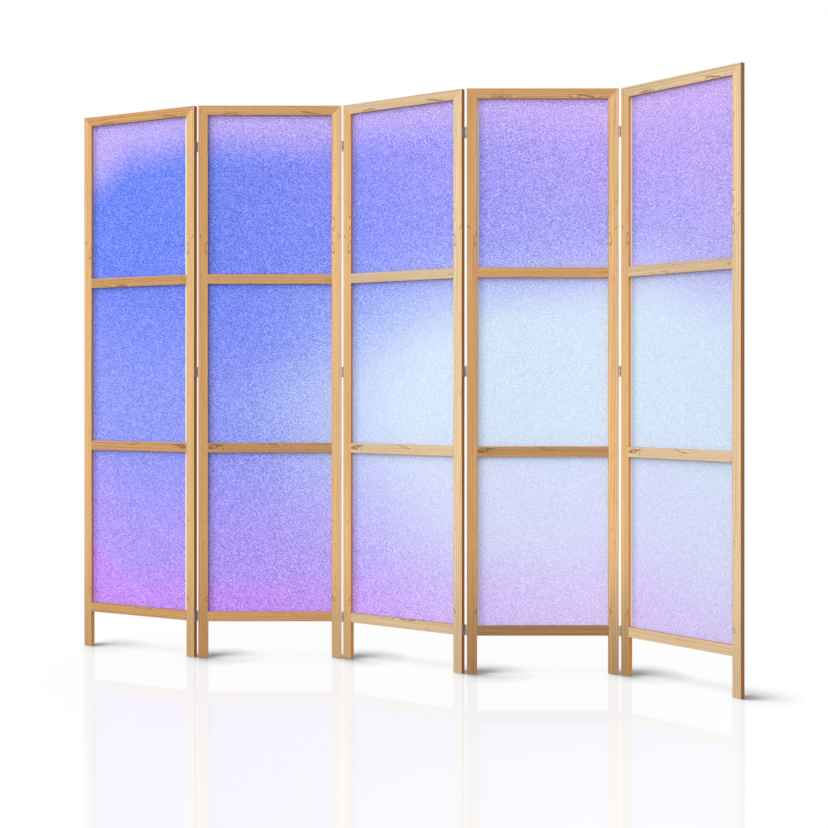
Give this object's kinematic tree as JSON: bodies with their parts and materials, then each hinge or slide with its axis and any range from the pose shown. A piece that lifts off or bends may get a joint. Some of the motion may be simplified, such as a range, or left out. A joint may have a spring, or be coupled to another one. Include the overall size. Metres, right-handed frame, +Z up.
{
  "type": "folding screen",
  "caption": "Free-standing folding screen of tall pine-framed panels with stretched printed canvas, hinged edge to edge so that it stands in a zigzag and folds flat.",
  "frame": {"origin": "centre of the standing screen's box, at floor level", "axes": "+X along the screen's mean line from the first panel to the fifth, -Y out of its printed front, +Z up"},
  "size_m": [2.1395, 0.2756, 1.72],
  "materials": {
    "pine": "clear satin, planed",
    "canvas": "matte print, fine grain",
    "steel": "zinc plated, satin"
  },
  "bodies": {
    "panel_1": {"panel_1_left_stile": "pine", "panel_1_right_stile": "pine", "panel_1_bottom_rail": "pine", "panel_1_lower_rail": "pine", "panel_1_upper_rail": "pine", "panel_1_top_rail": "pine", "panel_1_canvas": "canvas", "panel_1_back_beads": "pine", "hinge_1_left_leaves": "steel", "hinge_1_left_screws": "steel", "hinge_1_pins": "steel"},
    "panel_2": {"panel_2_left_stile": "pine", "panel_2_right_stile": "pine", "panel_2_bottom_rail": "pine", "panel_2_lower_rail": "pine", "panel_2_upper_rail": "pine", "panel_2_top_rail": "pine", "panel_2_canvas": "canvas", "panel_2_back_beads": "pine", "hinge_1_right_leaves": "steel", "hinge_1_right_screws": "steel", "hinge_2_left_leaves": "steel", "hinge_2_left_screws": "steel", "hinge_2_pins": "steel"},
    "panel_3": {"panel_3_left_stile": "pine", "panel_3_right_stile": "pine", "panel_3_bottom_rail": "pine", "panel_3_lower_rail": "pine", "panel_3_upper_rail": "pine", "panel_3_top_rail": "pine", "panel_3_canvas": "canvas", "panel_3_back_beads": "pine", "hinge_2_right_leaves": "steel", "hinge_2_right_screws": "steel", "hinge_3_left_leaves": "steel", "hinge_3_left_screws": "steel", "hinge_3_pins": "steel"},
    "panel_4": {"panel_4_left_stile": "pine", "panel_4_right_stile": "pine", "panel_4_bottom_rail": "pine", "panel_4_lower_rail": "pine", "panel_4_upper_rail": "pine", "panel_4_top_rail": "pine", "panel_4_canvas": "canvas", "panel_4_back_beads": "pine", "hinge_3_right_leaves": "steel", "hinge_3_right_screws": "steel", "hinge_4_left_leaves": "steel", "hinge_4_left_screws": "steel", "hinge_4_pins": "steel"},
    "panel_5": {"panel_5_left_stile": "pine", "panel_5_right_stile": "pine", "panel_5_bottom_rail": "pine", "panel_5_lower_rail": "pine", "panel_5_upper_rail": "pine", "panel_5_top_rail": "pine", "panel_5_canvas": "canvas", "panel_5_back_beads": "pine", "hinge_4_right_leaves": "steel", "hinge_4_right_screws": "steel"}
  },
  "joints": [
    {"name": "fold_1", "type": "hinge", "parent": "panel_2", "child": "panel_1", "pos_m": [-0.62184, -0.11982, 0], "axis": [0, 0, -1], "range_deg": [-29, 151]},
    {"name": "fold_2", "type": "hinge", "parent": "panel_3", "child": "panel_2", "pos_m": [-0.1996, 0.04003, 0], "axis": [0, 0, 1], "range_deg": [-36, 144]},
    {"name": "fold_3", "type": "hinge", "parent": "panel_3", "child": "panel_4", "pos_m": [0.24513, -0.03785, 0], "axis": [0, 0, 1], "range_deg": [-36, 144]},
    {"name": "fold_4", "type": "hinge", "parent": "panel_4", "child": "panel_5", "pos_m": [0.66737, 0.122, 0], "axis": [0, 0, -1], "range_deg": [-52, 128]}
  ],
  "couplings": [
    {"joint": "fold_3", "follows": "fold_2", "ratio": 1}
  ]
}
